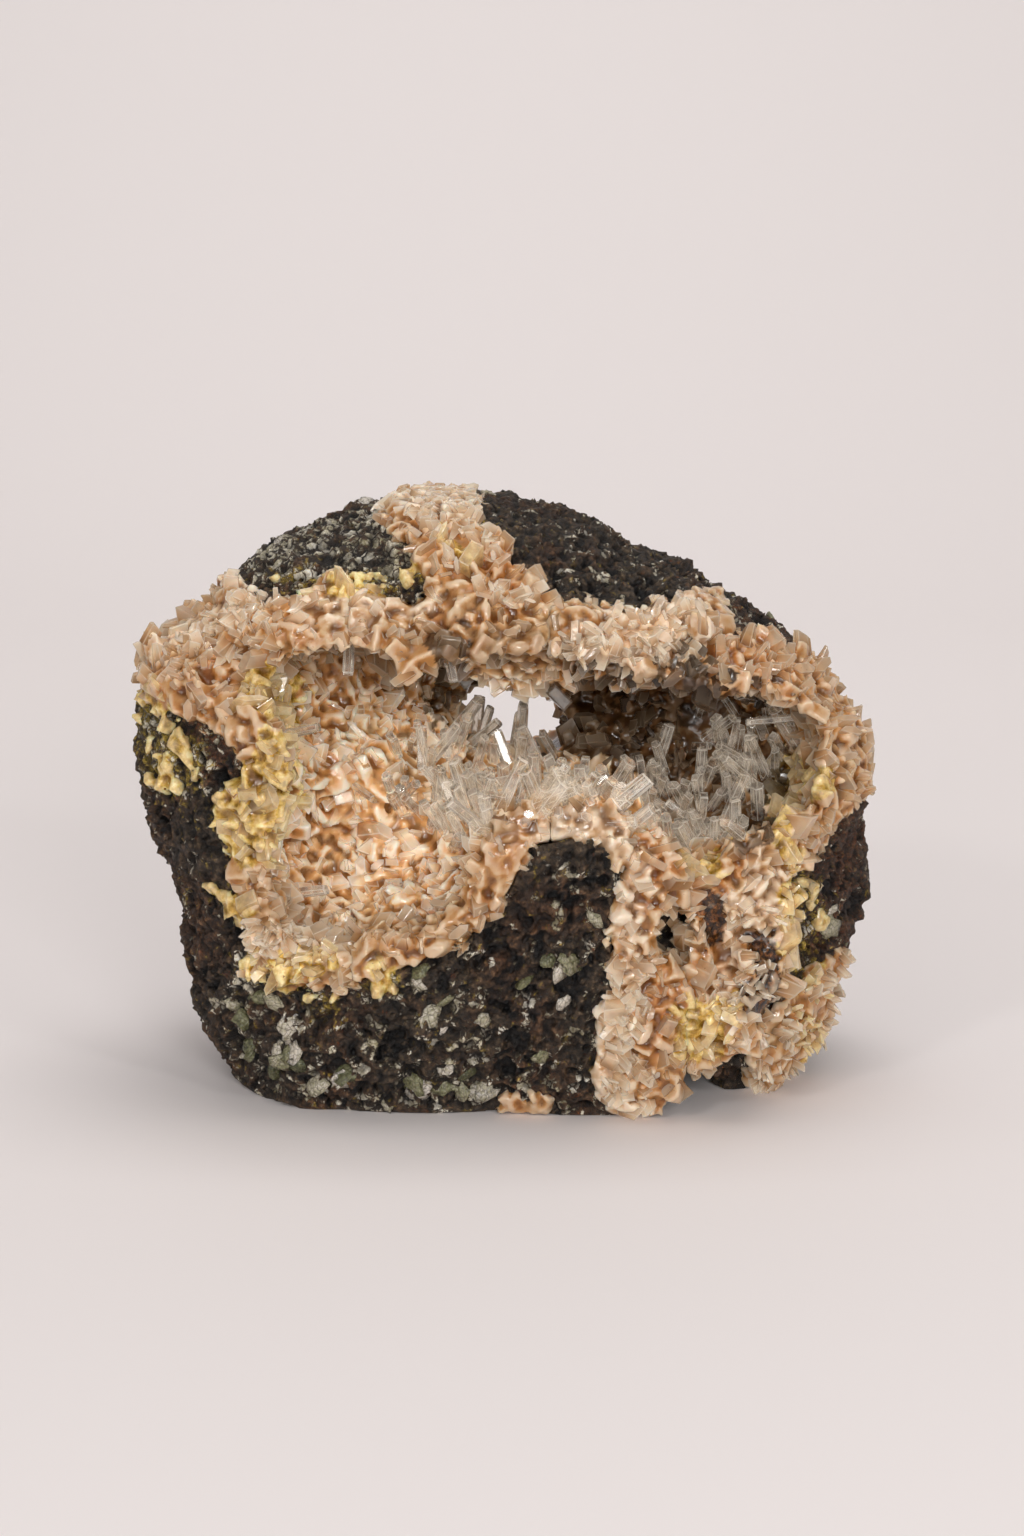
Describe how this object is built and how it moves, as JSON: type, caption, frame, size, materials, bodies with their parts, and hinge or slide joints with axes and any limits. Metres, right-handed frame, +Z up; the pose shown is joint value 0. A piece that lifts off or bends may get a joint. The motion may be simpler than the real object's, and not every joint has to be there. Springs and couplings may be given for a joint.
{
  "type": "mineral specimen",
  "caption": "Hollow block of dark basalt lined and overgrown with peach heulandite crystals, with sprays of clear calcite prisms, standing on a flat base.",
  "frame": {"origin": "middle of the footprint's box, on the plane that the specimen stands on", "axes": "+Z up, -Y out of the main hollow's mouth, +X to the right when looking into the hollow"},
  "size_m": [0.1504, 0.1052, 0.1198],
  "materials": {
    "basalt": "rough, vesicular",
    "heulandite": "glossy translucent crystals",
    "calcite": "clear, glassy"
  },
  "bodies": {
    "root": {"basalt_matrix": "basalt", "heulandite_crust": "heulandite", "calcite_spray_floor": "calcite", "calcite_spray_right": "calcite", "calcite_prism_roof_left": "calcite", "calcite_prism_roof_middle": "calcite", "calcite_prism_left_wall": "calcite", "calcite_prism_left_floor": "calcite", "calcite_prism_back_left": "calcite", "calcite_prism_right_shoulder": "calcite"}
  },
  "joints": []
}
